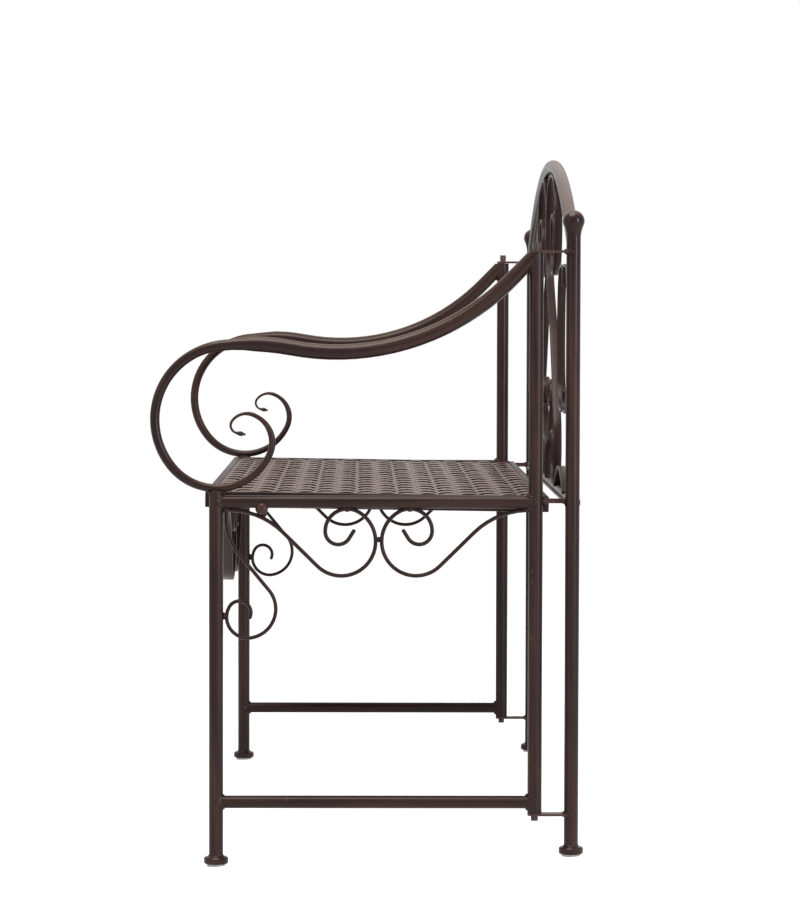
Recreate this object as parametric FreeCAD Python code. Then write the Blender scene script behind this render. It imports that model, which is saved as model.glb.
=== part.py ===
import FreeCAD
import Part
import math
import os

from FreeCAD import Vector

# Sizes in millimetres. The bench is laid out upright, with the post axes at Y 0
# and the rear feet at Z 0, and leaned back at the end until all four feet are level.
HALF_WIDTH = 520.0
PIVOT_Y = -46.0
LEG_Y = -446.0
FRONT_DROP = 12.8

# Tubes
LEG_D = 18.0
RAIL_D = 16.0
WALL = 1.2
POST_TOP = 773.0
CAP_TOP = 16.0
STRETCHER_Z = 67.7
RAIL_Z = 445.2
BACK_RAIL_Z = 445.0
UPRIGHT_LOW = 54.4
UPRIGHT_TOP = 757.0
LEG_OVER = 5.4

# Ball finials and feet
BALL_D = 27.4
BALL_Z = 796.7
CUP_TOP = 790.0
NECK = (9.7, 782.5)
FOOT_D = 31.0
FOOT_LOW = 2.6
FOOT_RIM = 6.0
FOOT_EDGE = 1.5
FOOT_ROUND = 2.5
FLARE_BOW = 3.1
GLIDE_D = 25.0
GLIDE_TAPER = 2.0
GLIDE_SPARE = 1.0

# Arched top tube of the back
ARCH_D = 17.2
ARCH_END_Z = 766.0
ARCH_PEAK_Z = 885.0

# Pivots of the side frames
TAB_W = 18.0
TAB_T = 3.0
TAB_GAP = 0.4
BOLT_D = 6.0
BOLT_HOLE = 6.1
BOLT_HEAD_D = 9.0
BOLT_HEAD_H = 9.0
BOLT_NUB_H = 6.0
BOLT_IN = 15.0
PLUG = 20.0

# Armrest, a tapered tube drawn out and rolled into a volute; the taper gives
# the diameter at distances along it, up to the bead at the tip
ARM_START = (-47.0, 755.4)
ARM_HEADING = -133.7
ARM_MOVES = (
    (38.4, 0.0),
    (307.8, -56.8),
    (292.0, 17.6),
    (92.7, 65.8),
    (93.6, 57.4),
    (72.5, 114.8),
    (36.9, 95.4),
    (22.3, 73.7),
    (9.6, 116.1),
    (11.0, 0.0),
)
ARM_TAPER = (
    (0.0, 18.2),
    (50.0, 19.3),
    (381.0, 19.3),
    (418.0, 14.1),
    (470.0, 12.4),
    (601.0, 12.0),
    (797.0, 8.1),
    (837.0, 5.0),
    (857.0, 2.8),
    (887.0, 2.2),
    (893.0, 5.8),
    (899.0, 1.6),
)
ARM_STEP = 9.0
ARM_STEPS_LEAST = 4
ARM_HOLLOW = (18.0, 450.0)

# Rod scrolls of the side frames
SCROLL_ROD = 5.0
APRON_MID_Y = -242.6
APRON_START = (-52.0, 435.3)
APRON_HEADING = 182.8
APRON_MOVES = (
    (7.0, 0.0), (98.0, 41.7), (60.0, 0.0), (43.0, -194.4),
    (27.8, -123.0), (16.2, -145.0), (11.4, 0.0),
)
APRON_LEAD = 6.0
BRACKET_ROD = 4.8
BRACKET_START = (-432.6, 435.0)
BRACKET_HEADING = -97.0
BRACKET_MOVES = ((76.4, 49.6), (524.1, -5.9), (36.7, -117.8), (26.4, -127.2), (14.5, -177.2))

# Rests that carry the seat front
REST_Y = -389.0
REST_W = 13.0
REST_T = 3.0
REST_X = 508.5
REST_IN = 490.0
REST_LOW = 424.0
REST_HIGH = 442.0
STUD_Z = 437.0
STUD_D = 6.0
DOME_D = 16.0
DOME_H = 5.5
DOME_X = 525.0

# Seat panel
SEAT_HALF = 507.0
SEAT_FRONT = -460.6
SEAT_REAR = -28.8
SEAT_TOP = 456.6
RIM_W = 9.0
RIM_H = 20.0
RIM_WALL = 1.5
SEAT_GAP = 0.3
SEAT_TILT = 0.75
STRAP_T = 1.5
STRAP_Z = 453.6
LONG_COUNT = 16
LONG_W = 19.4
LONG_WAVE = 1.0
LONG_FLAT = 6.0
LONG_PAIRS = 1.4
CROSS_COUNT = 32
CROSS_W = 28.6
CROSS_WAVE = 1.9
CROSS_FLAT = 8.0
BRACE_X = 170.0
BRACE_W = 12.0
BRACE_H = 8.0

# Seat hinge
HINGE_Y = -32.5
HINGE_DEEP = 5.5
PIN_D = 5.0
PIN_HOLE = 5.1
PIN_IN = 14.0
PIN_SPARE = 1.0
LUG_X = 508.3
LUG_T = 3.2
LUG_R = 4.4
LUG_H = 6.0
LUG_FOOT_Y = -13.0

# Flat-bar scrolls under the seat front: stretches from the start by the right leg
FRONT_BAR_W = 18.0
FRONT_BAR_T = 3.5
FRONT_BAR_Y = -447.0
FRONT_START_X = 462.0
FRONT_MOVES = (
    (120.0, 0.0), (250.0, 38.0), (85.0, 0.0), (74.0, -128.0),
    (46.6, -120.0), (26.0, -150.0), (16.0, 0.0),
)

# Flat-bar scroll-work of the back, right half: start, heading and stretches
BACK_BAR_W = 11.0
BACK_BAR_T = 3.6
BACK_Y = -2.0
BACK_WAIST = (1.7, 775.0)
BACK_SCROLLS = {
    "back_lyre_scrolls": (
        (BACK_WAIST, 90.0, ((8.0, 0.0), (86.0, -87.0), (300.0, -16.0), (64.5, -170.0), (40.0, -180.0),
                            (24.0, -140.0))),
        (BACK_WAIST, -90.0, ((66.0, 54.0), (70.0, 0.0), (170.0, -14.0), (142.0, 0.0), (60.0, -40.0),
                             (51.0, -90.0), (40.0, -95.0), (27.0, -110.0), (16.0, -120.0))),
    ),
    "back_heart_scrolls": (
        ((1.7, 451.0), 90.0, ((24.0, 0.0), (30.0, -82.0), (130.0, 40.0), (28.0, 42.0), (24.0, 90.0),
                              (20.0, 90.0), (14.0, 150.0))),
    ),
    "back_post_scrolls": (
        ((402.0, 717.5), 105.0, ((20.0, -105.0), (28.5, 0.0), (56.0, -72.0), (177.0, -36.0), (56.0, -72.0),
                                 (28.5, 0.0), (20.0, -105.0))),
    ),
    "back_inner_scrolls": (
        ((398.0, 717.5), 75.0, ((20.0, 105.0), (26.0, 0.0), (56.0, 72.0), (177.0, 36.0), (56.0, 72.0),
                                (26.0, 0.0), (20.0, 105.0))),
    ),
    "back_rail_bows": (((212.0, 451.0), 32.0, ((190.0, -64.0),)),),
}


def walk(start, heading, moves, offset=0.0):
    """Three points on each stretch of a chain of tangent arcs (radius, turn) and
    straight leads (length, 0), moved sideways by an offset to the left."""
    a, b = start
    h = math.radians(heading)
    legs = []
    for size, turn in moves:
        t = math.radians(turn)
        points = []
        for k in (0.0, 0.5, 1.0):
            if turn == 0:
                point = (a + size * k * math.cos(h), b + size * k * math.sin(h))
            else:
                r = math.copysign(size, turn)
                g = h + t * k
                point = (a + r * (math.sin(g) - math.sin(h)), b - r * (math.cos(g) - math.cos(h)))
            points.append(point)
        legs.append([(p[0] - offset * math.sin(h + t * k), p[1] + offset * math.cos(h + t * k))
                     for p, k in zip(points, (0.0, 0.5, 1.0))])
        a, b = points[2]
        h += t
    return legs


def wire_of(legs, place):
    edges = []
    for first, middle, last in legs:
        edges.append(Part.Arc(place(*first), place(*middle), place(*last)).toShape()
                     if abs((middle[0] - first[0]) * (last[1] - first[1])
                            - (middle[1] - first[1]) * (last[0] - first[0])) > 1e-6
                     else Part.makeLine(place(*first), place(*last)))
    return Part.Wire(edges)


def side_plane(a, b):
    return Vector(HALF_WIDTH, a, b)


def back_plane(y):
    return lambda a, b: Vector(a, y, b)


def circle(centre, normal, diameter):
    return Part.Wire([Part.makeCircle(diameter / 2, centre, normal)])


def rod(start, heading, moves, diameter):
    """A round rod in the plane of a side frame."""
    path = wire_of(walk(start, heading, moves), side_plane)
    h = math.radians(heading)
    ring = circle(side_plane(*start), Vector(0, math.cos(h), math.sin(h)), diameter)
    return path.makePipeShell([ring], True, False)


def bar(start, heading, moves, thick, width, y):
    """A flat bar bent in an upright plane across the bench."""
    place = back_plane(y - width / 2)
    left = wire_of(walk(start, heading, moves, thick / 2), place)
    right = wire_of(walk(start, heading, moves, -thick / 2), place)
    ends = [Part.makeLine(left.OrderedVertexes[n].Point, right.OrderedVertexes[n].Point)
            for n in (0, -1)]
    outline = Part.Wire(Part.__sortEdges__(left.Edges + right.Edges + ends))
    return Part.Face(outline).extrude(Vector(0, width, 0))


def post_solid(x, y, low, high, diameter):
    return Part.makeCylinder(diameter / 2, high - low, Vector(x, y, low))


def tube_along_y(x, z, y0, y1, diameter):
    return Part.makeCylinder(diameter / 2, y1 - y0, Vector(x, y0, z), Vector(0, 1, 0))


def turned(points, x, y, z):
    """A turned piece from an outline of radius and height; a third value makes
    a stretch an arc through a middle point."""
    edges = []
    for (r0, z0, *_), (r1, z1, *through) in zip(points, points[1:]):
        a, b = Vector(r0, 0, z0), Vector(r1, 0, z1)
        edges.append(Part.Arc(a, Vector(through[0][0], 0, through[0][1]), b).toShape()
                     if through else Part.makeLine(a, b))
    first, last = points[0], points[-1]
    edges.append(Part.makeLine(Vector(last[0], 0, last[1]), Vector(first[0], 0, first[1])))
    solid = Part.Face(Part.Wire(edges)).revolve(Vector(0, 0, 0), Vector(0, 0, 1), 360)
    solid.translate(Vector(x, y, z))
    return solid


def box(x0, x1, y0, y1, z0, z1):
    return Part.makeBox(x1 - x0, y1 - y0, z1 - z0, Vector(x0, y0, z0))


def mirrored(shape):
    return shape.mirror(Vector(0, 0, 0), Vector(1, 0, 0))


def pair(shape):
    return Part.Compound([shape, mirrored(shape)])


pieces = {}


def both_sides(name, shape):
    pieces[name + "_right"] = shape
    pieces[name + "_left"] = mirrored(shape)


# Posts of the back frame, with ball finials and capped feet
post = post_solid(HALF_WIDTH, 0, CAP_TOP, POST_TOP, LEG_D)
post_bore = post_solid(HALF_WIDTH, 0, CAP_TOP, POST_TOP, LEG_D - 2 * WALL)
both_sides("post", post.cut(post_bore))

ball_r = BALL_D / 2
cup_r = math.sqrt(ball_r ** 2 - (CUP_TOP - BALL_Z) ** 2)
finial = turned([
    (0, POST_TOP), (LEG_D / 2, POST_TOP), (cup_r, CUP_TOP, NECK),
    (0, BALL_Z + ball_r, (ball_r, BALL_Z)),
], HALF_WIDTH, 0, 0)
both_sides("finial", finial)

foot_r = FOOT_D / 2
edge_z = CAP_TOP - FOOT_RIM + FOOT_EDGE
corner = FOOT_ROUND * (1 - math.sqrt(0.5))
foot_outline = [
    (0, CAP_TOP), (LEG_D / 2, CAP_TOP),
    (foot_r - FOOT_EDGE, edge_z, (foot_r - FOOT_EDGE - FLARE_BOW, edge_z + FOOT_EDGE / 2)),
    (foot_r, CAP_TOP - FOOT_RIM), (foot_r, FOOT_LOW + FOOT_ROUND),
    (foot_r - FOOT_ROUND, FOOT_LOW, (foot_r - corner, FOOT_LOW + corner)), (0, FOOT_LOW),
]
glide_r = GLIDE_D / 2
glide_outline = [
    (0, FOOT_LOW), (glide_r, FOOT_LOW),
    (glide_r - GLIDE_TAPER, -GLIDE_SPARE), (0, -GLIDE_SPARE),
]
both_sides("rear_foot", turned(foot_outline, HALF_WIDTH, 0, 0))
both_sides("rear_glide", turned(glide_outline, HALF_WIDTH, 0, 0))

# Arched top tube and lower rail between the posts
posts = [post, mirrored(post), finial, mirrored(finial)]
arch_r = (HALF_WIDTH ** 2 + (ARCH_PEAK_Z - ARCH_END_Z) ** 2) / (2 * (ARCH_PEAK_Z - ARCH_END_Z))
arch_half = math.degrees(math.asin(HALF_WIDTH / arch_r))
arch_path = walk((-HALF_WIDTH, ARCH_END_Z), arch_half, ((arch_r, -2 * arch_half),))
arch_wire = wire_of(arch_path, back_plane(0))
arch_tangent = Vector(math.cos(math.radians(arch_half)), 0, math.sin(math.radians(arch_half)))
arch_end = Vector(-HALF_WIDTH, 0, ARCH_END_Z)
arch = arch_wire.makePipeShell([circle(arch_end, arch_tangent, ARCH_D)], True, False)
arch_bore = arch_wire.makePipeShell([circle(arch_end, arch_tangent, ARCH_D - 2 * WALL)], True, False)
pieces["arch_tube"] = arch.cut(arch_bore).cut(posts)

rail_end = Vector(-HALF_WIDTH, 0, BACK_RAIL_Z)
back_rail = Part.makeCylinder(RAIL_D / 2, 2 * HALF_WIDTH, rail_end, Vector(1, 0, 0))
rail_bore = Part.makeCylinder(RAIL_D / 2 - WALL, 2 * HALF_WIDTH, rail_end, Vector(1, 0, 0))
pieces["back_rail"] = back_rail.cut(rail_bore).cut(posts[:2])

# Scroll-work of the back
frame_tubes = [arch, back_rail] + posts[:2]
other_half = box(-HALF_WIDTH, 0, -LEG_D, LEG_D, 0, 2 * HALF_WIDTH)
laid = []
for name, chains in BACK_SCROLLS.items():
    scroll, *rest_of = [bar(*chain, BACK_BAR_T, BACK_BAR_W, BACK_Y) for chain in chains]
    if rest_of:
        scroll = scroll.fuse(rest_of).removeSplitter()
    scroll = scroll.cut(frame_tubes + [other_half] + laid)
    laid.append(scroll)
    pieces[name] = pair(scroll)

# Pivot tabs on the posts, with their bolts in the rear uprights
tab_levels = ((UPRIGHT_TOP + TAB_GAP, 1), (UPRIGHT_LOW - TAB_GAP - TAB_T, -1))
tabs, bolts = [], []
for low, up in tab_levels:
    plate = box(HALF_WIDTH - TAB_W / 2, HALF_WIDTH + TAB_W / 2, PIVOT_Y, 0, low, low + TAB_T)
    plate = plate.fuse(post_solid(HALF_WIDTH, PIVOT_Y, low, low + TAB_T, TAB_W)).removeSplitter()
    hole = post_solid(HALF_WIDTH, PIVOT_Y, low, low + TAB_T, BOLT_HOLE)
    tabs.append(plate.cut([post, hole]))
    if up > 0:
        head_low, head_high = low + TAB_T + TAB_GAP, low + TAB_T + TAB_GAP + BOLT_HEAD_H
        shank = post_solid(HALF_WIDTH, PIVOT_Y, UPRIGHT_TOP - BOLT_IN, head_low, BOLT_D)
    else:
        head_low, head_high = low - TAB_GAP - BOLT_NUB_H, low - TAB_GAP
        shank = post_solid(HALF_WIDTH, PIVOT_Y, head_high, UPRIGHT_LOW + BOLT_IN, BOLT_D)
    head = post_solid(HALF_WIDTH, PIVOT_Y, head_low, head_high, BOLT_HEAD_D)
    bolts.append(head.fuse(shank).removeSplitter())
both_sides("pivot_tabs", Part.Compound(tabs))
both_sides("pivot_bolts", Part.Compound(bolts))

# Side frame: upright, front leg, foot, seat rail and stretcher
upright_solid = post_solid(HALF_WIDTH, PIVOT_Y, UPRIGHT_LOW, UPRIGHT_TOP, LEG_D)
upright_bore = post_solid(HALF_WIDTH, PIVOT_Y, UPRIGHT_LOW + PLUG, UPRIGHT_TOP - PLUG, LEG_D - 2 * WALL)
both_sides("upright", upright_solid.cut([upright_bore] + bolts))

arm_lengths = [size * abs(math.radians(turn)) if turn else size for size, turn in ARM_MOVES]
arm_stations = [0.0]
for (size, turn), length in zip(ARM_MOVES, arm_lengths):
    steps = max(ARM_STEPS_LEAST, round(abs(turn) / ARM_STEP))
    arm_stations += [arm_stations[-1] + length * (n + 1) / steps for n in range(steps)]


def arm_point(distance):
    """Place and heading on the centreline of the armrest."""
    a, b = ARM_START
    h = math.radians(ARM_HEADING)
    for (size, turn), length in zip(ARM_MOVES, arm_lengths):
        part = min(distance, length)
        if turn == 0:
            a, b = a + part * math.cos(h), b + part * math.sin(h)
        else:
            r = math.copysign(size, turn)
            g = h + part / r
            a, b = a + r * (math.sin(g) - math.sin(h)), b - r * (math.cos(g) - math.cos(h))
            h = g
        distance -= part
        if distance <= 0:
            break
    return a, b, h


def arm_width(distance):
    for (s0, d0), (s1, d1) in zip(ARM_TAPER, ARM_TAPER[1:]):
        if distance <= s1:
            t = (distance - s0) / (s1 - s0)
            return d0 + (d1 - d0) * t * t * (3 - 2 * t)
    return ARM_TAPER[-1][1]


def arm_loft(first, last, less):
    rings = []
    for distance in [first] + [s for s in arm_stations if first < s < last] + [last]:
        a, b, h = arm_point(distance)
        rings.append(circle(side_plane(a, b), Vector(0, math.cos(h), math.sin(h)), arm_width(distance) - less))
    return Part.makeLoft(rings, True, False)


arm_solid = arm_loft(0.0, arm_stations[-1], 0.0)
arm_bore = arm_loft(ARM_HOLLOW[0], ARM_HOLLOW[1], 2 * WALL)
above_upright = box(HALF_WIDTH - LEG_D, HALF_WIDTH + LEG_D, PIVOT_Y - 2 * LEG_D, PIVOT_Y + LEG_D,
                    UPRIGHT_TOP, UPRIGHT_TOP + 2 * LEG_D)
arm = arm_solid.cut(arm_bore).cut([upright_solid, above_upright])
both_sides("armrest", arm)

leg_low = CAP_TOP - FRONT_DROP
loop_low = RAIL_Z + RAIL_D / 2 + LEG_OVER
leg_solid = post_solid(HALF_WIDTH, LEG_Y, leg_low, loop_low, LEG_D)
leg_bore = post_solid(HALF_WIDTH, LEG_Y, leg_low, loop_low - 2 * WALL, LEG_D - 2 * WALL)
both_sides("front_leg", leg_solid.cut([leg_bore, arm_solid]))
both_sides("front_foot", turned(foot_outline, HALF_WIDTH, LEG_Y, -FRONT_DROP))
both_sides("front_glide", turned(glide_outline, HALF_WIDTH, LEG_Y, -FRONT_DROP))

rails = {}
for name, level in (("seat_rail", RAIL_Z), ("stretcher", STRETCHER_Z)):
    outer = tube_along_y(HALF_WIDTH, level, LEG_Y, PIVOT_Y, RAIL_D)
    inner = tube_along_y(HALF_WIDTH, level, LEG_Y, PIVOT_Y, RAIL_D - 2 * WALL)
    rails[name] = outer
    both_sides(name, outer.cut(inner).cut([leg_solid, upright_solid, arm_solid]))

# Rod scrolls of the side frame
apron_rear = rod(APRON_START, APRON_HEADING, APRON_MOVES, SCROLL_ROD)
front_start = (2 * APRON_MID_Y - APRON_START[0] - APRON_LEAD, APRON_START[1])
front_moves = [(APRON_LEAD + APRON_MOVES[0][0], 0.0)] + [(size, -turn) for size, turn in APRON_MOVES[1:]]
apron_front = rod(front_start, 180.0 - APRON_HEADING, front_moves, SCROLL_ROD)
apron_rear = apron_rear.cut([rails["seat_rail"], upright_solid])
apron_front = apron_front.cut([rails["seat_rail"], leg_solid, apron_rear])
both_sides("apron_rear", apron_rear)
both_sides("apron_front", apron_front)

bracket = rod(BRACKET_START, BRACKET_HEADING, BRACKET_MOVES, BRACKET_ROD)
both_sides("leg_bracket", bracket.cut(apron_front))

# Rest that the seat front lies on, with its dome-headed stud
rest_y0, rest_y1 = REST_Y - REST_W / 2, REST_Y + REST_W / 2
seat_low = SEAT_TOP - RIM_H
shelf_top = seat_low - SEAT_GAP
rest = box(REST_X, REST_X + REST_T, rest_y0, rest_y1, REST_LOW + REST_W / 2, REST_HIGH)
rest_end = Vector(REST_X, REST_Y, REST_LOW + REST_W / 2)
rest = rest.fuse(Part.makeCylinder(REST_W / 2, REST_T, rest_end, Vector(1, 0, 0))).removeSplitter()
shelf = box(REST_IN, REST_X, rest_y0, rest_y1, shelf_top - REST_T, shelf_top)
both_sides("seat_rest", Part.Compound([rest, shelf]))
dome_r = ((DOME_D / 2) ** 2 + DOME_H ** 2) / (2 * DOME_H)
dome = Part.makeSphere(dome_r, Vector(DOME_X + DOME_H - dome_r, REST_Y, STUD_Z))
dome = dome.common(box(DOME_X, DOME_X + DOME_H, REST_Y - DOME_D, REST_Y + DOME_D,
                       STUD_Z - DOME_D, STUD_Z + DOME_D))
stud_x = REST_X + REST_T
stud = Part.makeCylinder(STUD_D / 2, DOME_X - stud_x, Vector(stud_x, REST_Y, STUD_Z), Vector(1, 0, 0))
stud = stud.fuse(dome).removeSplitter().cut([rails["seat_rail"], apron_front])
both_sides("rest_stud", stud)

# Seat rim, braces and woven straps
in_x = SEAT_HALF - RIM_W
in_front, in_rear = SEAT_FRONT + RIM_W, SEAT_REAR - RIM_W


def rim_bar(x0, x1, y0, y1, end_x, end_y):
    solid = box(x0, x1, y0, y1, seat_low, SEAT_TOP)
    return solid.cut(box(x0 + end_x, x1 - end_x, y0 + end_y, y1 - end_y,
                         seat_low + RIM_WALL, SEAT_TOP - RIM_WALL))


hole_end = Vector(SEAT_HALF - PIN_IN, HINGE_Y, SEAT_TOP - HINGE_DEEP)
pin_hole = Part.makeCylinder(PIN_HOLE / 2, PIN_IN, hole_end, Vector(1, 0, 0))
rim_rear = rim_bar(-SEAT_HALF, SEAT_HALF, in_rear, SEAT_REAR, PLUG, RIM_WALL)
rim_front = rim_bar(-SEAT_HALF, SEAT_HALF, SEAT_FRONT, in_front, PLUG, RIM_WALL)
pieces["seat_rim_front"] = rim_front
pieces["seat_rim_rear"] = rim_rear.cut([pin_hole, mirrored(pin_hole)])
both_sides("seat_rim", rim_bar(in_x, SEAT_HALF, in_front, in_rear, RIM_WALL, PLUG))

brace_top = STRAP_Z - CROSS_WAVE - STRAP_T / 2
brace = box(BRACE_X - BRACE_W / 2, BRACE_X + BRACE_W / 2, in_front, in_rear, brace_top - BRACE_H, brace_top)
pieces["seat_braces"] = pair(brace)


def strap(length, crossings, wave, flat, first_up):
    """Side outline of a strap, over and under the straps that it crosses."""
    line = [(0.0, 0.0)]
    for n, middle in enumerate(crossings):
        level = wave if (n + first_up) % 2 else -wave
        line += [(middle - flat, level), (middle + flat, level)]
    line.append((length, 0.0))
    return [(a, b - STRAP_T / 2) for a, b in line] + [(a, b + STRAP_T / 2) for a, b in reversed(line)]


long_span, cross_span = 2 * in_x, in_rear - in_front
long_pitch, cross_pitch = cross_span / LONG_COUNT, long_span / CROSS_COUNT
long_middles = [(n + 0.5) * long_pitch + (LONG_PAIRS if n % 2 else -LONG_PAIRS) for n in range(LONG_COUNT)]
cross_middles = [(n + 0.5) * cross_pitch for n in range(CROSS_COUNT)]
long_straps, cross_straps = [], []
for n, middle in enumerate(long_middles):
    y = in_front + middle - LONG_W / 2
    outline = strap(long_span, cross_middles, LONG_WAVE, LONG_FLAT, n)
    points = [Vector(a - in_x, y, STRAP_Z + b) for a, b in outline]
    long_straps.append(Part.Face(Part.makePolygon(points + points[:1])).extrude(Vector(0, LONG_W, 0)))
for n, middle in enumerate(cross_middles):
    x = middle - in_x - CROSS_W / 2
    outline = strap(cross_span, long_middles, CROSS_WAVE, CROSS_FLAT, n + 1)
    points = [Vector(x, a + in_front, STRAP_Z + b) for a, b in outline]
    cross_straps.append(Part.Face(Part.makePolygon(points + points[:1])).extrude(Vector(CROSS_W, 0, 0)))
pieces["seat_straps_long"] = Part.Compound(long_straps)
pieces["seat_straps_cross"] = Part.Compound(cross_straps)

# Flat-bar scrolls under the seat front, facing each other
front_z = seat_low - FRONT_BAR_T / 2
front_scroll = bar((FRONT_START_X, front_z), 180.0, FRONT_MOVES, FRONT_BAR_T, FRONT_BAR_W, FRONT_BAR_Y)
left_half = box(-SEAT_HALF, 0, SEAT_FRONT, in_rear, 0, SEAT_TOP)
above = box(-SEAT_HALF, SEAT_HALF, SEAT_FRONT, in_rear, seat_low, SEAT_TOP)
both_sides("seat_apron", front_scroll.cut([left_half, above]))

# Tilt the seat on its front rests, down towards the rear
rest_line = Vector(0, REST_Y, seat_low)
across = Vector(1, 0, 0)
for name, shape in pieces.items():
    if name.startswith(("seat_rim", "seat_braces", "seat_straps", "seat_apron")):
        shape.rotate(rest_line, across, -SEAT_TILT)
hinge = Part.Vertex(0, HINGE_Y, SEAT_TOP - HINGE_DEEP)
hinge.rotate(rest_line, across, -SEAT_TILT)
hinge_y, hinge_z = hinge.Point.y, hinge.Point.z

# Seat hinge: lugs and pins on the posts, entering the ends of the rear rim
lug_low, lug_high = hinge_z - LUG_H / 2, hinge_z + LUG_H / 2
lug = Part.makeCylinder(LUG_R, LUG_T, Vector(LUG_X, hinge_y, hinge_z), across)
lug = lug.fuse(box(LUG_X, LUG_X + LUG_T, hinge_y, 0, lug_low, lug_high))
lug = lug.fuse(box(LUG_X, HALF_WIDTH, LUG_FOOT_Y, 0, lug_low, lug_high)).removeSplitter()
pin_x = SEAT_HALF - PIN_IN + PIN_SPARE
pin = Part.makeCylinder(PIN_D / 2, LUG_X + LUG_T - pin_x, Vector(pin_x, hinge_y, hinge_z), across)
both_sides("seat_lug", lug.cut([post, back_rail, pin]))
both_sides("seat_pin", pin)

# Lean the bench back until the feet are level, then centre it over the origin
lean = -math.degrees(math.atan(FRONT_DROP / -LEG_Y))
floor = box(-2 * HALF_WIDTH, 2 * HALF_WIDTH, 2 * LEG_Y, -2 * LEG_Y, -100.0, 0.0)
for name, shape in pieces.items():
    shape.rotate(Vector(0, 0, 0), Vector(1, 0, 0), lean)
    if name.endswith(("glide_right", "glide_left")):
        pieces[name] = shape.cut(floor)
low_y = min(shape.BoundBox.YMin for shape in pieces.values())
high_y = max(shape.BoundBox.YMax for shape in pieces.values())
shift = -(low_y + high_y) / 2

os.makedirs("parts", exist_ok=True)
for name, shape in pieces.items():
    shape.translate(Vector(0, shift, 0))
    shape.exportStep("parts/" + name + ".step")
print("shift", shift, "lean", lean, "hinge", hinge_y, hinge_z, "pieces", len(pieces))
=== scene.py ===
import math

import bmesh
import bpy
from mathutils import Matrix, Vector, noise


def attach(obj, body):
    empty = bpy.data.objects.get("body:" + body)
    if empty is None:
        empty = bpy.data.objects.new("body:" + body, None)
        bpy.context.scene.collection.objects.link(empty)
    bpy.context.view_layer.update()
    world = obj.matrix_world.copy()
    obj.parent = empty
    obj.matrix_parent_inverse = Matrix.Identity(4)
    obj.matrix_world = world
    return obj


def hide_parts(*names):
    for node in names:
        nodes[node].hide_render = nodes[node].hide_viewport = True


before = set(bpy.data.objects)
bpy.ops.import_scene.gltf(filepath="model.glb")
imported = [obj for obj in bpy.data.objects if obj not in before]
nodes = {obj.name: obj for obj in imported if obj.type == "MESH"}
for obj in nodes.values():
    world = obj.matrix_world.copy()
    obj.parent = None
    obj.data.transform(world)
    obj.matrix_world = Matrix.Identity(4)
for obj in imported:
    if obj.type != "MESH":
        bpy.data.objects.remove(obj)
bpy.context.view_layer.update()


# Posts, uprights and front legs: straight lengths of round steel tube.
# They are sprayed dark brown, then rubbed so that a warmer bronze
# shows in thin streaks along each tube.
RUST_BROWN = (0.13, 0.055, 0.028)
RUST_FREE = 0.975
CLOUD_RELIEF = 0.6

# Sockets of a Mix node that mixes two colours.
COLOUR_A = 6
COLOUR_B = 7
COLOUR_OUT = 2


def link(tree, start, out, end, into):
    tree.links.new(start.outputs[out], end.inputs[into])


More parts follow.
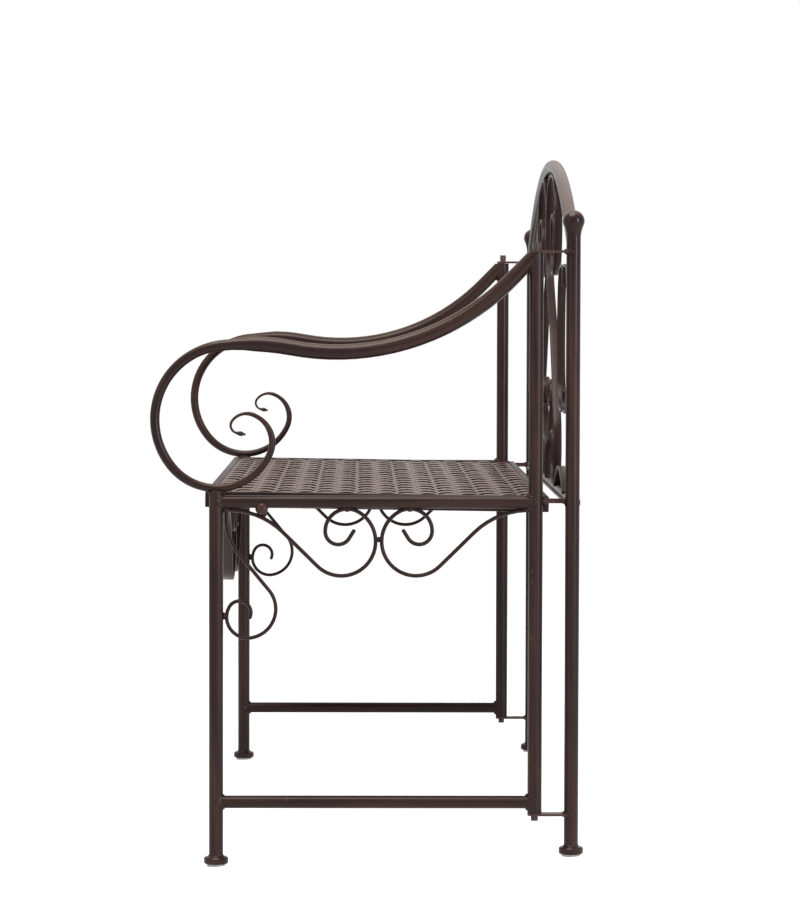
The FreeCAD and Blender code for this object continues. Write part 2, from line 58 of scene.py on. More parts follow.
def paint_group():
    """Rubbed brown paint: streaks along a piece, soft clouds, a few specks of
    rust and a fine peel. Place is in metres, and Along stretches the streaks."""
    group = bpy.data.node_groups.new("antique_brown", "ShaderNodeTree")
    inputs = (
        ("Place", "NodeSocketVector"),
        ("Along", "NodeSocketVector"),
        ("Ground", "NodeSocketColor"),
        ("Rubbed", "NodeSocketColor"),
        ("Rub", "NodeSocketFloat"),
        ("Dullness", "NodeSocketFloat"),
    )
    for name, kind in inputs:
        group.interface.new_socket(name, in_out="INPUT", socket_type=kind)
    outputs = (
        ("Colour", "NodeSocketColor"),
        ("Roughness", "NodeSocketFloat"),
        ("Height", "NodeSocketFloat"),
    )
    for name, kind in outputs:
        group.interface.new_socket(name, in_out="OUTPUT", socket_type=kind)
    new = group.nodes.new
    given = new("NodeGroupInput")
    result = new("NodeGroupOutput")

    stretch = new("ShaderNodeVectorMath")
    stretch.operation = "MULTIPLY"
    link(group, given, "Place", stretch, 0)
    link(group, given, "Along", stretch, 1)
    streaks = new("ShaderNodeTexNoise")
    streaks.inputs["Scale"].default_value = 1.0
    streaks.inputs["Detail"].default_value = 5.0
    streaks.inputs["Roughness"].default_value = 0.62
    link(group, stretch, "Vector", streaks, "Vector")
    rub_mask = new("ShaderNodeMapRange")
    rub_mask.inputs["From Min"].default_value = 0.46
    rub_mask.inputs["From Max"].default_value = 0.74
    link(group, streaks, "Fac", rub_mask, "Value")
    rub_share = new("ShaderNodeMath")
    rub_share.operation = "MULTIPLY"
    link(group, rub_mask, "Result", rub_share, 0)
    link(group, given, "Rub", rub_share, 1)
    rubbed = new("ShaderNodeMix")
    rubbed.data_type = "RGBA"
    link(group, rub_share, "Value", rubbed, "Factor")
    link(group, given, "Ground", rubbed, COLOUR_A)
    link(group, given, "Rubbed", rubbed, COLOUR_B)

    clouds = new("ShaderNodeTexNoise")
    clouds.inputs["Scale"].default_value = 16.0
    clouds.inputs["Detail"].default_value = 4.0
    link(group, given, "Place", clouds, "Vector")
    shade = new("ShaderNodeMapRange")
    shade.inputs["From Min"].default_value = 0.3
    shade.inputs["From Max"].default_value = 0.7
    shade.inputs["To Min"].default_value = 0.80
    shade.inputs["To Max"].default_value = 1.18
    link(group, clouds, "Fac", shade, "Value")
    clouded = new("ShaderNodeVectorMath")
    clouded.operation = "SCALE"
    link(group, rubbed, COLOUR_OUT, clouded, 0)
    link(group, shade, "Result", clouded, "Scale")

    specks = new("ShaderNodeTexVoronoi")
    specks.inputs["Scale"].default_value = 110.0
    link(group, given, "Place", specks, "Vector")
    pick = new("ShaderNodeSeparateColor")
    link(group, specks, "Color", pick, "Color")
    rare = new("ShaderNodeMath")
    rare.operation = "GREATER_THAN"
    rare.inputs[1].default_value = RUST_FREE
    link(group, pick, "Red", rare, 0)
    small = new("ShaderNodeMapRange")
    small.inputs["From Min"].default_value = 0.24
    small.inputs["From Max"].default_value = 0.08
    small.inputs["To Max"].default_value = 0.6
    link(group, specks, "Distance", small, "Value")
    rust_mask = new("ShaderNodeMath")
    rust_mask.operation = "MULTIPLY"
    link(group, rare, "Value", rust_mask, 0)
    link(group, small, "Result", rust_mask, 1)
    rusted = new("ShaderNodeMix")
    rusted.data_type = "RGBA"
    rusted.inputs[COLOUR_B].default_value = (*RUST_BROWN, 1.0)
    link(group, rust_mask, "Value", rusted, "Factor")
    link(group, clouded, "Vector", rusted, COLOUR_A)
    link(group, rusted, COLOUR_OUT, result, "Colour")

    peel = new("ShaderNodeTexNoise")
    peel.inputs["Scale"].default_value = 620.0
    peel.inputs["Detail"].default_value = 2.0
    link(group, given, "Place", peel, "Vector")
    height = new("ShaderNodeMath")
    height.operation = "MULTIPLY_ADD"
    height.inputs[1].default_value = CLOUD_RELIEF
    link(group, clouds, "Fac", height, 0)
    link(group, peel, "Fac", height, 2)
    link(group, height, "Value", result, "Height")
    dull = new("ShaderNodeMapRange")
    dull.inputs["From Min"].default_value = 0.3
    dull.inputs["From Max"].default_value = 0.75
    dull.inputs["To Min"].default_value = -0.06
    dull.inputs["To Max"].default_value = 0.12
    link(group, streaks, "Fac", dull, "Value")
    rough = new("ShaderNodeMath")
    rough.operation = "ADD"
    link(group, dull, "Result", rough, 0)
    link(group, given, "Dullness", rough, 1)
    link(group, rough, "Value", result, "Roughness")
    return group


antique_brown = paint_group()
DARK_BROWN = (0.0195, 0.0092, 0.0080)
BRONZE = (0.066, 0.033, 0.022)
PAINT_SHINE = 0.15
PEEL_DEPTH = 0.00012
PEEL_STRENGTH = 0.5


def painted(name, along, rub, dull, bent=False, ground=DARK_BROWN, rubbed=BRONZE, peel=PEEL_DEPTH):
    """The rubbed paint on one kind of piece. A bent piece reads each point's
    place on the straight stock, so that the streaks follow the bend."""
    material = bpy.data.materials.new(name)
    material.use_nodes = True
    tree = material.node_tree
    shader = tree.nodes["Principled BSDF"]
    shader.inputs["Specular IOR Level"].default_value = PAINT_SHINE
    paint = tree.nodes.new("ShaderNodeGroup")
    paint.name = "paint"
    paint.node_tree = antique_brown
    paint.inputs["Along"].default_value = along
    paint.inputs["Ground"].default_value = (*ground, 1.0)
    paint.inputs["Rubbed"].default_value = (*rubbed, 1.0)
    paint.inputs["Rub"].default_value = rub
    paint.inputs["Dullness"].default_value = dull
    if bent:
        place = tree.nodes.new("ShaderNodeAttribute")
        place.attribute_name = "straight"
        link(tree, place, "Vector", paint, "Place")
    else:
        place = tree.nodes.new("ShaderNodeTexCoord")
        link(tree, place, "Object", paint, "Place")
    relief = tree.nodes.new("ShaderNodeBump")
    relief.inputs["Strength"].default_value = PEEL_STRENGTH
    relief.inputs["Distance"].default_value = peel
    link(tree, paint, "Colour", shader, "Base Color")
    link(tree, paint, "Roughness", shader, "Roughness")
    link(tree, paint, "Height", relief, "Height")
    link(tree, relief, "Normal", shader, "Normal")
    return material


def coat(material, *names):
    for name in names:
        nodes[name].data.materials.clear()
        nodes[name].data.materials.append(material)


upright_paint = painted("upright_tube_paint", along=(70.0, 70.0, 3.0), rub=0.7, dull=0.29)
for side in ("right", "left"):
    coat(upright_paint, "post_" + side, "upright_" + side, "front_leg_" + side)


# Rails and stretchers: straight round tubes, their ends cut to the tubes
# they meet and welded. They have the same rubbed brown paint.
side_rail_paint = painted("side_rail_paint", along=(70.0, 3.0, 70.0), rub=0.6, dull=0.30)
for side in ("right", "left"):
    coat(side_rail_paint, "seat_rail_" + side, "stretcher_" + side)
back_rail_paint = painted("back_rail_paint", along=(3.0, 70.0, 70.0), rub=0.6, dull=0.30)
coat(back_rail_paint, "back_rail")


# Arched top tube of the back: one length of round tube, bent to a shallow arc
# and welded between the posts. Sizes here and below are in millimetres on
# the upright bench, and the bench matrix then leans it back on its feet.
MM = 0.001
LEG_Y = -446.0
LEG_EXTRA = 12.8
BACK_SHIFT = 0.235068
HALF_WIDTH = 520.0
ARCH_D = 17.18
ARCH_END_Z = 766.0
ARCH_RISE = 119.0
ARCH_SIDES = 36
ARCH_STEP = 0.7
lean = math.atan2(LEG_EXTRA, -LEG_Y)
bench = Matrix.Translation((0.0, BACK_SHIFT, 0.0)) @ Matrix.Rotation(-lean, 4, "X") @ Matrix.Scale(MM, 4)


def drawing(y, base=bench):
    """Plane of a drawing across the bench: right, up and towards the front."""
    return base @ Matrix(((1, 0, 0, 0), (0, 0, -1, y), (0, 1, 0, 0), (0, 0, 0, 1)))


def new_drawing():
    """An empty shape whose points keep their place on the straight stock."""
    bm = bmesh.new()
    bm.verts.layers.float_vector.new("straight")
    return bm


def across(start, heading):
    """Place of a cross-section that faces along the heading."""
    return (Matrix.Translation((*start, 0.0)) @ Matrix.Rotation(math.radians(heading), 4, "Z")
            @ Matrix.Rotation(math.radians(90.0), 4, "Y"))


def edges_of(verts):
    return list(dict.fromkeys(edge for vert in verts for edge in vert.link_edges))


def verts_of(edges):
    return list(dict.fromkeys(vert for edge in edges for vert in edge.verts))


def edges_in(items):
    return [item for item in items if isinstance(item, bmesh.types.BMEdge)]


def round_outline(bm, start, heading, diameter, sides):
    made = bmesh.ops.create_circle(bm, cap_ends=False, segments=sides, radius=diameter / 2,
                                   matrix=across(start, heading))
    return edges_of(made["verts"])


STRAIGHT_GRAIN = 12.0
TAPER_GRAIN = 1.5
END_ROUNDING = ((0.45, 0.86), (0.30, 0.62))


def bend(bm, edges, start, heading, moves, step, width_at=None, rounded=0.0, first_cap=True):
    """Draws an outline along arcs (radius, turn) and straights (length, 0), and
    keeps each point's place on the straight stock for the paint."""
    straight = bm.verts.layers.float_vector["straight"]
    x, y = start
    h = math.radians(heading)
    gone = 0.0
    verts = verts_of(edges)
    first = list(edges)
    width = width_at(0.0) if width_at else 1.0

    def mark():
        for vert in verts:
            left = (vert.co.y - y) * math.cos(h) - (vert.co.x - x) * math.sin(h)
            vert[straight] = (left * MM, vert.co.z * MM, gone * MM)

    def go(size, turn, scale):
        nonlocal x, y, h, gone, edges, verts
        if turn:
            radius = math.copysign(size, turn)
            centre = Vector((x - radius * math.sin(h), y + radius * math.cos(h), 0.0))
            made = bmesh.ops.spin(bm, geom=edges, cent=centre, axis=(0, 0, 1), angle=turn, steps=1)
            h += turn
            x, y = centre.x + radius * math.sin(h), centre.y - radius * math.cos(h)
            gone += size * abs(turn)
        else:
            ahead = Vector((math.cos(h), math.sin(h), 0.0)) * size
            made = bmesh.ops.spin(bm, geom=edges, cent=(x, y, 0.0), axis=(0, 0, 1), dvec=ahead,
                                  angle=0.0, steps=1)
            x, y = x + ahead.x, y + ahead.y
            gone += size
        edges = edges_in(made["geom_last"])
        verts = verts_of(edges)
        if scale != 1.0:
            bmesh.ops.scale(bm, vec=(scale, scale, scale), verts=verts,
                            space=Matrix.Translation((-x, -y, 0.0)))
        mark()

    mark()
    grain = TAPER_GRAIN if width_at else STRAIGHT_GRAIN
    for size, turn in moves:
        count = max(1, round(abs(turn) / step)) if turn else max(1, round(size / grain))
        for _ in range(count):
            ahead = size * abs(math.radians(turn)) / count if turn else size / count
            scale = 1.0
            if width_at:
                wide = width_at(gone + ahead)
                scale, width = wide / width, wide
            go(size if turn else ahead, math.radians(turn) / count, scale)
    if rounded:
        for share, scale in END_ROUNDING:
            go(share * rounded, 0.0, scale)
    bmesh.ops.contextual_create(bm, geom=edges)
    if first_cap:
        bmesh.ops.contextual_create(bm, geom=first)


MERGE = 0.001


def shaped(bm, place, name, body, slot, material, *replaced, sharp=40.0):
    """Closes a drawn shape and sets it on the bench as a piece."""
    bmesh.ops.remove_doubles(bm, verts=bm.verts[:], dist=MERGE)
    bmesh.ops.transform(bm, matrix=place, verts=bm.verts[:])
    bmesh.ops.recalc_face_normals(bm, faces=bm.faces[:])
    for face in bm.faces:
        face.smooth = True
    mesh = bpy.data.meshes.new(name)
    bm.to_mesh(mesh)
    bm.free()
    mesh.set_sharp_from_angle(angle=math.radians(sharp))
    mesh.materials.append(material)
    piece = bpy.data.objects.new(name, mesh)
    bpy.context.scene.collection.objects.link(piece)
    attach(piece, body)
    if replaced:
        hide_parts(*replaced)


def painted_top_highlight(material, pale, share):
    """Paints a highlight onto the sides that face up, a paler colour standing in for the overhead light."""
    tree = material.node_tree
    facing = tree.nodes.new("ShaderNodeNewGeometry")
    parts = tree.nodes.new("ShaderNodeSeparateXYZ")
    link(tree, facing, "Normal", parts, "Vector")
    facing_up = tree.nodes.new("ShaderNodeMapRange")
    facing_up.interpolation_type = "SMOOTHSTEP"
    facing_up.inputs["From Min"].default_value = 0.35
    facing_up.inputs["From Max"].default_value = 1.0
    facing_up.inputs["To Max"].default_value = share
    link(tree, parts, "Z", facing_up, "Value")
    highlighted = tree.nodes.new("ShaderNodeMix")
    highlighted.data_type = "RGBA"
    highlighted.inputs[COLOUR_B].default_value = (*pale, 1.0)
    link(tree, facing_up, "Result", highlighted, "Factor")
    link(tree, tree.nodes["paint"], "Colour", highlighted, COLOUR_A)
    link(tree, highlighted, COLOUR_OUT, tree.nodes["Principled BSDF"], "Base Color")


# A paler brown, painted on the sides that face up as a highlight from the overhead light.
TOP_HIGHLIGHT_BROWN = (0.105, 0.072, 0.060)
arch_paint = painted("arch_paint", along=(70.0, 70.0, 4.0), rub=0.7, dull=0.29, bent=True)
painted_top_highlight(arch_paint, TOP_HIGHLIGHT_BROWN, share=0.85)
arch_radius = (HALF_WIDTH ** 2 + ARCH_RISE ** 2) / (2.0 * ARCH_RISE)
arch_half = math.degrees(math.asin(HALF_WIDTH / arch_radius))
arch_start = (-HALF_WIDTH, ARCH_END_Z)
bm = new_drawing()
outline = round_outline(bm, arch_start, arch_half, ARCH_D, ARCH_SIDES)
bend(bm, outline, arch_start, arch_half, ((arch_radius, -2.0 * arch_half),), ARCH_STEP)
shaped(bm, drawing(0.0), "arched_top_tube", "back_frame", "frame_paint", arch_paint, "arch_tube")


# Scroll-work of the back: flat steel bars with rolled edges, bent cold on a
# former into volutes, set in mirrored pairs and welded where they touch.
BAR_W = 11.0
BAR_T = 3.6
BAR_EDGE = 1.3
BAR_STEP = 5.0
BAR_Y = -2.0
EDGE_SEGMENTS = 3
WAIST = (1.85, 775.0)
LYRE_TOP = ((8.0, 0.0), (86.0, -87.0), (300.0, -16.0), (64.5, -170.0), (40.0, -180.0), (24.0, -140.0))
LYRE_FOOT = (
    (66.0, 54.0), (70.0, 0.0), (170.0, -14.0), (142.0, 0.0), (60.0, -40.0), (51.0, -90.0),
    (40.0, -95.0), (27.0, -110.0), (16.0, -120.0),
)
HEART_START = (1.85, 451.0)
HEART = (
    (24.0, 0.0), (30.0, -82.0), (130.0, 40.0), (28.0, 42.0), (24.0, 90.0), (20.0, 90.0), (14.0, 150.0),
)
POST_START = (402.0, 717.5)
POST_HEADING = 105.0
POST_SCROLL = (
    (20.0, -105.0), (28.5, 0.0), (56.0, -72.0), (177.0, -36.0), (56.0, -72.0), (28.5, 0.0), (20.0, -105.0),
)
INNER_START = (398.0, 717.5)
INNER_HEADING = 75.0
INNER_SCROLL = (
    (20.0, 105.0), (26.0, 0.0), (56.0, 72.0), (177.0, 36.0), (56.0, 72.0), (26.0, 0.0), (20.0, 105.0),
)
BOW_START = (212.0, 451.0)
BOW_HEADING = 32.0
BOW = ((190.0, -64.0),)


def flat_outline(bm, start, heading, thick, width, edge):
    place = across(start, heading) @ Matrix.Diagonal((width, thick, 1.0, 1.0))
    made = bmesh.ops.create_grid(bm, x_segments=1, y_segments=1, size=0.5, matrix=place)
    bevelled = bmesh.ops.bevel(bm, geom=made["verts"], offset=edge, offset_type="OFFSET",
                               segments=EDGE_SEGMENTS, profile=0.5, affect="VERTICES", material=-1)
    face = bevelled["verts"][0].link_faces[0]
    edges = list(face.edges)
    bmesh.ops.delete(bm, geom=[face], context="FACES_ONLY")
    return edges


bar_paint = painted("bent_bar_paint", along=(90.0, 60.0, 5.0), rub=0.7, dull=0.34, bent=True)


def everything(bm):
    return bm.verts[:] + bm.edges[:] + bm.faces[:]


def mirrored_pair(bm):
    bmesh.ops.mirror(bm, geom=everything(bm), matrix=Matrix(), merge_dist=0.0, axis="X")


def back_bars(name, node, *chains):
    """A mirrored pair of bars, each drawn in one or more runs from a start."""
    bm = new_drawing()
    for start, heading, moves in chains:
        outline = flat_outline(bm, start, heading, BAR_T, BAR_W, BAR_EDGE)
        bend(bm, outline, start, heading, moves, BAR_STEP, first_cap=len(chains) == 1)
    bmesh.ops.remove_doubles(bm, verts=bm.verts[:], dist=MERGE)
    mirrored_pair(bm)
    shaped(bm, drawing(BAR_Y), name, "back_frame", "frame_paint", bar_paint, node)


back_bars("lyre_scrolls", "back_lyre_scrolls", (WAIST, 90.0, LYRE_TOP), (WAIST, -90.0, LYRE_FOOT))
back_bars("heart_scrolls", "back_heart_scrolls", (HEART_START, 90.0, HEART))
back_bars("post_scrolls", "back_post_scrolls", (POST_START, POST_HEADING, POST_SCROLL))
back_bars("inner_scrolls", "back_inner_scrolls", (INNER_START, INNER_HEADING, INNER_SCROLL))
back_bars("rail_bows", "back_rail_bows", (BOW_START, BOW_HEADING, BOW))


# Ball finials and bell-shaped feet: turned and pressed steel caps, welded to
# the tube ends and painted with them. Under each foot sits a plastic glide.
GLIDE_DARK = (0.40, 0.39, 0.38)
GLIDE_PALE = (0.66, 0.65, 0.63)
cap_paint = painted("cap_paint", along=(40.0, 40.0, 40.0), rub=0.5, dull=0.22)
finial_paint = painted("finial_paint", along=(40.0, 40.0, 40.0), rub=0.5, dull=0.18)
# The finial ball gets a painted highlight on its top.
painted_top_highlight(finial_paint, TOP_HIGHLIGHT_BROWN, share=0.9)


def cloudy_plastic():
    material = bpy.data.materials.new("cloudy_glide_plastic")
    material.use_nodes = True
    tree = material.node_tree
    shader = tree.nodes["Principled BSDF"]
    shader.inputs["Subsurface Weight"].default_value = 0.3
    shader.inputs["Subsurface Scale"].default_value = 0.004
    place = tree.nodes.new("ShaderNodeTexCoord")
    haze = tree.nodes.new("ShaderNodeTexNoise")
    haze.inputs["Scale"].default_value = 220.0
    haze.inputs["Detail"].default_value = 4.0
    link(tree, place, "Object", haze, "Vector")
    tone = tree.nodes.new("ShaderNodeValToRGB")
    dark, pale = tone.color_ramp.elements
    dark.position = 0.35
    dark.color = (*GLIDE_DARK, 1.0)
    pale.position = 0.7
    pale.color = (*GLIDE_PALE, 1.0)
    link(tree, haze, "Fac", tone, "Fac")
    link(tree, tone, "Color", shader, "Base Color")
    scuffed = tree.nodes.new("ShaderNodeMapRange")
    scuffed.inputs["To Min"].default_value = 0.28
    scuffed.inputs["To Max"].default_value = 0.6
    link(tree, haze, "Fac", scuffed, "Value")
    link(tree, scuffed, "Result", shader, "Roughness")
    return material


glide_plastic = cloudy_plastic()
for side in ("right", "left"):
    coat(finial_paint, "finial_" + side)
    coat(cap_paint, "rear_foot_" + side, "front_foot_" + side)
    coat(glide_plastic, "rear_glide_" + side, "front_glide_" + side)


# Armrests: a round tube drawn out to a taper, swept down from the upright and
# rolled forward into an open volute over the front leg, with a bead at its tip.
ARM_START = (-47.0, 755.4)
ARM_HEADING = -133.7
ARM_MOVES = (
    (38.4, 0.0), (307.8, -56.8), (292.0, 17.6), (92.7, 65.8), (93.6, 57.4),
    (72.5, 114.8), (36.9, 95.4), (22.3, 73.7), (9.6, 116.1), (11.0, 0.0),
)
ARM_TAPER = (
    (0.0, 18.2), (50.0, 19.3), (381.0, 19.3), (418.0, 14.1), (470.0, 12.35), (601.0, 11.95),
    (797.0, 8.3), (837.0, 5.6), (857.0, 3.8), (886.0, 3.0), (893.0, 6.2), (899.0, 2.4),
)
ARM_SIDES = 32
ARM_STEP = 3.0
ARM_GOLD_HIGHLIGHT = (0.100, 0.064, 0.034)
UPRIGHT_TOP = 757.0
CUT_GAP = 0.0001


def arm_width(distance):
    """Width of the tube at a distance along it, eased from mark to mark."""
    for (s0, d0), (s1, d1) in zip(ARM_TAPER, ARM_TAPER[1:]):
        if distance <= s1:
            t = (distance - s0) / (s1 - s0)
            return d0 + (d1 - d0) * t * t * (3.0 - 2.0 * t)
    return ARM_TAPER[-1][1]


side_drawing = {
    "right": bench @ Matrix(((0, 0, 1, HALF_WIDTH), (1, 0, 0, 0), (0, 1, 0, 0), (0, 0, 0, 1))),
    "left": bench @ Matrix(((0, 0, -1, -HALF_WIDTH), (1, 0, 0, 0), (0, 1, 0, 0), (0, 0, 0, 1))),
}
arm_paint = painted("arm_paint", along=(70.0, 70.0, 4.0), rub=0.7, dull=0.25, bent=True)
# The arms get a golden brown painted highlight on the sides that face up.
painted_top_highlight(arm_paint, ARM_GOLD_HIGHLIGHT, share=0.5)
for side, place in side_drawing.items():
    bm = new_drawing()
    outline = round_outline(bm, ARM_START, ARM_HEADING, arm_width(0.0), ARM_SIDES)
    bend(bm, outline, ARM_START, ARM_HEADING, ARM_MOVES, ARM_STEP, width_at=arm_width)
    cut = bmesh.ops.bisect_plane(bm, geom=everything(bm), dist=CUT_GAP, plane_co=(0.0, UPRIGHT_TOP, 0.0),
                                 plane_no=(0.0, 1.0, 0.0), clear_outer=True)
    bmesh.ops.contextual_create(bm, geom=edges_in(cut["geom_cut"]))
    shaped(bm, place, "rolled_armrest_" + side, side + "_side", "frame_paint", arm_paint, "armrest_" + side)


# Side scrolls: thin round rod bent into two facing volutes under the seat
# rail and a bracket in the corner of the leg, welded at every touch.
ROD_D = 5.0
ROD_SIDES = 14
ROD_STEP = 6.0
BRACKET_D = 4.8
APRON_MID = -242.6
APRON_START = (-52.0, 435.3)
APRON_HEADING = 182.8
APRON_LEAD = 6.0
APRON_MOVES = (
    (7.0, 0.0), (98.0, 41.7), (60.0, 0.0), (43.0, -194.4), (27.8, -123.0), (16.2, -145.0), (11.4, 0.0),
)
BRACKET_START = (-432.6, 435.0)
BRACKET_HEADING = -97.0
BRACKET_MOVES = ((76.4, 49.6), (524.1, -5.9), (36.7, -117.8), (26.4, -127.2), (14.5, -177.2))
front_start = (2.0 * APRON_MID - APRON_START[0] - APRON_LEAD, APRON_START[1])
front_moves = [(APRON_LEAD + APRON_MOVES[0][0], 0.0)] + [(size, -turn) for size, turn in APRON_MOVES[1:]]
rods = (
    ("rear_apron_scroll", "apron_rear", APRON_START, APRON_HEADING, APRON_MOVES, ROD_D),
    ("front_apron_scroll", "apron_front", front_start, 180.0 - APRON_HEADING, front_moves, ROD_D),
    ("corner_scroll", "leg_bracket", BRACKET_START, BRACKET_HEADING, BRACKET_MOVES, BRACKET_D),
)
rod_paint = painted("rod_paint", along=(110.0, 110.0, 6.0), rub=0.55, dull=0.32, bent=True)
for side, place in side_drawing.items():
    for name, node, start, heading, moves, thick in rods:
        bm = new_drawing()
        outline = round_outline(bm, start, heading, thick, ROD_SIDES)
        bend(bm, outline, start, heading, moves, ROD_STEP, rounded=thick / 2)
        shaped(bm, place, name + "_" + side, side + "_side", "frame_paint", rod_paint, node + "_" + side)


# Seat rim: box-section steel with rolled corners, butted and welded to a frame
# for the weave. Two plain bars cross below it. The seat lies on its front
# rests and slopes down a little towards the hinge.
SEAT_HALF = 507.0
SEAT_FRONT = -460.6
SEAT_REAR = -28.8
SEAT_TOP = 456.6
SEAT_LOW = 436.6
RIM_W = 9.0
RIM_EDGE = 1.6
SEAT_TILT = 0.75
REST_Y = -389.0
rest_line = Matrix.Translation((0.0, REST_Y, SEAT_LOW))
tilt = Matrix.Rotation(-math.radians(SEAT_TILT), 4, "X")
seat_place = bench @ rest_line @ tilt @ rest_line.inverted()
rim_in_x = SEAT_HALF - RIM_W
rim_in_front = SEAT_FRONT + RIM_W
rim_in_rear = SEAT_REAR - RIM_W
rim_paint_x = painted("rim_paint_long", along=(3.0, 60.0, 60.0), rub=0.6, dull=0.40)
rim_paint_y = painted("rim_paint_short", along=(60.0, 3.0, 60.0), rub=0.6, dull=0.40)


def rim_bar(name, node, x0, x1, y0, y1, material):
    bm = bmesh.new()
    size = Matrix.Diagonal((x1 - x0, y1 - y0, SEAT_TOP - SEAT_LOW, 1.0))
    middle = Matrix.Translation(((x0 + x1) / 2, (y0 + y1) / 2, (SEAT_TOP + SEAT_LOW) / 2))
    bmesh.ops.create_cube(bm, size=1.0, matrix=middle @ size)
    bmesh.ops.bevel(bm, geom=bm.edges[:], offset=RIM_EDGE, offset_type="OFFSET", segments=EDGE_SEGMENTS,
                    profile=0.5, affect="EDGES", material=-1)
    shaped(bm, seat_place, name, "seat", "frame_paint", material, node, sharp=60.0)


rim_bar("front_rim_bar", "seat_rim_front", -SEAT_HALF, SEAT_HALF, SEAT_FRONT, rim_in_front, rim_paint_x)
rim_bar("rear_rim_bar", "seat_rim_rear", -SEAT_HALF, SEAT_HALF, rim_in_rear, SEAT_REAR, rim_paint_x)
rim_bar("right_rim_bar", "seat_rim_right", rim_in_x, SEAT_HALF, rim_in_front, rim_in_rear, rim_paint_y)
rim_bar("left_rim_bar", "seat_rim_left", -SEAT_HALF, -rim_in_x, rim_in_front, rim_in_rear, rim_paint_y)
coat(rim_paint_y, "seat_braces")


# Woven seat: thin flat steel straps with rounded edges, each pressed into a
# shallow wave, woven over and under one another and welded to the rim.
STRAP_T = 1.5
STRAP_EDGE = 0.3
STRAP_Z = 453.6
LONG_COUNT = 16
LONG_W = 15.6
LONG_WAVE = 1.0
LONG_PAIRS = 3.4
CROSS_COUNT = 32
CROSS_W = 28.6
CROSS_WAVE = 1.9
UNEVEN = 0.5
SWELL_CHANGE = 0.61
DRIFT = 0.35
DRIFT_CHANGE = 0.37
SIDE_SHADE_BAND = (0.5, 0.1)
# The straps' browns are far paler than the frame's: a painted sheen for the overhead light on the seat, with
# the worn streaks paler still.
STRAP_SHEEN_GREY = (0.100, 0.060, 0.048)
STRAP_WORN_SHEEN = (0.200, 0.122, 0.092)
STRAP_SIDE_SHADE = (0.012, 0.006, 0.006)


def strap_material(name, width):
    """Strap paint, pale on the flats as a painted sheen with wear streaks, and with painted shade on the
    narrow sides.
    """
    material = painted(name, along=(60.0, 60.0, 5.0), rub=0.6, dull=0.38, bent=True,
                       ground=STRAP_SHEEN_GREY, rubbed=STRAP_WORN_SHEEN)
    tree = material.node_tree
    shader = tree.nodes["Principled BSDF"]
    paint = tree.nodes["paint"]
    place = tree.nodes.new("ShaderNodeAttribute")
    place.attribute_name = "straight"
    parts = tree.nodes.new("ShaderNodeSeparateXYZ")
    link(tree, place, "Vector", parts, "Vector")
    out = tree.nodes.new("ShaderNodeMath")
    out.operation = "ABSOLUTE"
    link(tree, parts, "Y", out, 0)
    # Painted shade: the narrow sides of each strap are darkened, standing in for the shadow under the raised
    # straps.
    edge = tree.nodes.new("ShaderNodeMapRange")
    edge.inputs["From Min"].default_value = (width / 2 - SIDE_SHADE_BAND[0]) * MM
    edge.inputs["From Max"].default_value = (width / 2 - SIDE_SHADE_BAND[1]) * MM
    link(tree, out, "Value", edge, "Value")
    sides = tree.nodes.new("ShaderNodeMix")
    sides.data_type = "RGBA"
    sides.inputs[COLOUR_B].default_value = (*STRAP_SIDE_SHADE, 1.0)
    link(tree, edge, "Result", sides, "Factor")
    link(tree, paint, "Colour", sides, COLOUR_A)
    link(tree, sides, COLOUR_OUT, shader, "Base Color")
    return material


def woven(name, node, width, wave, span, crossings, count, pitch, first, paired, turned):
    """One set of straps: every second one starts its wave downwards, and in a
    paired set they stand closer two by two."""
    step = span / crossings
    bm = new_drawing()
    for n in range(count):
        swell = wave * (1.0 + UNEVEN * noise.noise(Vector((n * SWELL_CHANGE, first * 3.0, 7.0))))
        slope = 2.0 * math.degrees(math.atan(2.0 * swell / step))
        radius = step / (2.0 * math.sin(math.radians(slope)))
        up = 1.0 if (n + first) % 2 else -1.0
        strap = new_drawing()
        moves = [(radius, -2.0 * slope * up * (1.0 if k % 2 == 0 else -1.0)) for k in range(crossings)]
        outline = flat_outline(strap, (0.0, 0.0), slope * up, STRAP_T, width, STRAP_EDGE)
        bend(strap, outline, (0.0, 0.0), slope * up, moves, slope / 2.0)
        drift = DRIFT * noise.noise(Vector((n * DRIFT_CHANGE, first * 5.0, 2.0)))
        middle = (n + 0.5) * pitch + drift + (paired if n % 2 else -paired)
        if turned:
            spot = Matrix(((0, 0, 1, middle - rim_in_x), (1, 0, 0, rim_in_front), (0, 1, 0, STRAP_Z),
                           (0, 0, 0, 1)))
        else:
            spot = Matrix(((1, 0, 0, -rim_in_x), (0, 0, -1, middle + rim_in_front), (0, 1, 0, STRAP_Z),
                           (0, 0, 0, 1)))
        bmesh.ops.transform(strap, matrix=spot, verts=strap.verts[:])
        held = bpy.data.meshes.new("strap")
        strap.to_mesh(held)
        strap.free()
        bm.from_mesh(held)
        bpy.data.meshes.remove(held)
    shaped(bm, seat_place, name, "seat", "strap_paint", strap_material(name + "_paint", width), node)


long_span = 2.0 * rim_in_x
cross_span = rim_in_rear - rim_in_front
woven("long_straps", "seat_straps_long", width=LONG_W, wave=LONG_WAVE, span=long_span,
      crossings=CROSS_COUNT, count=LONG_COUNT, pitch=cross_span / LONG_COUNT, first=0,
      paired=LONG_PAIRS, turned=False)
woven("cross_straps", "seat_straps_cross", width=CROSS_W, wave=CROSS_WAVE, span=cross_span,
      crossings=LONG_COUNT, count=CROSS_COUNT, pitch=long_span / CROSS_COUNT, first=1,
      paired=0.0, turned=True)


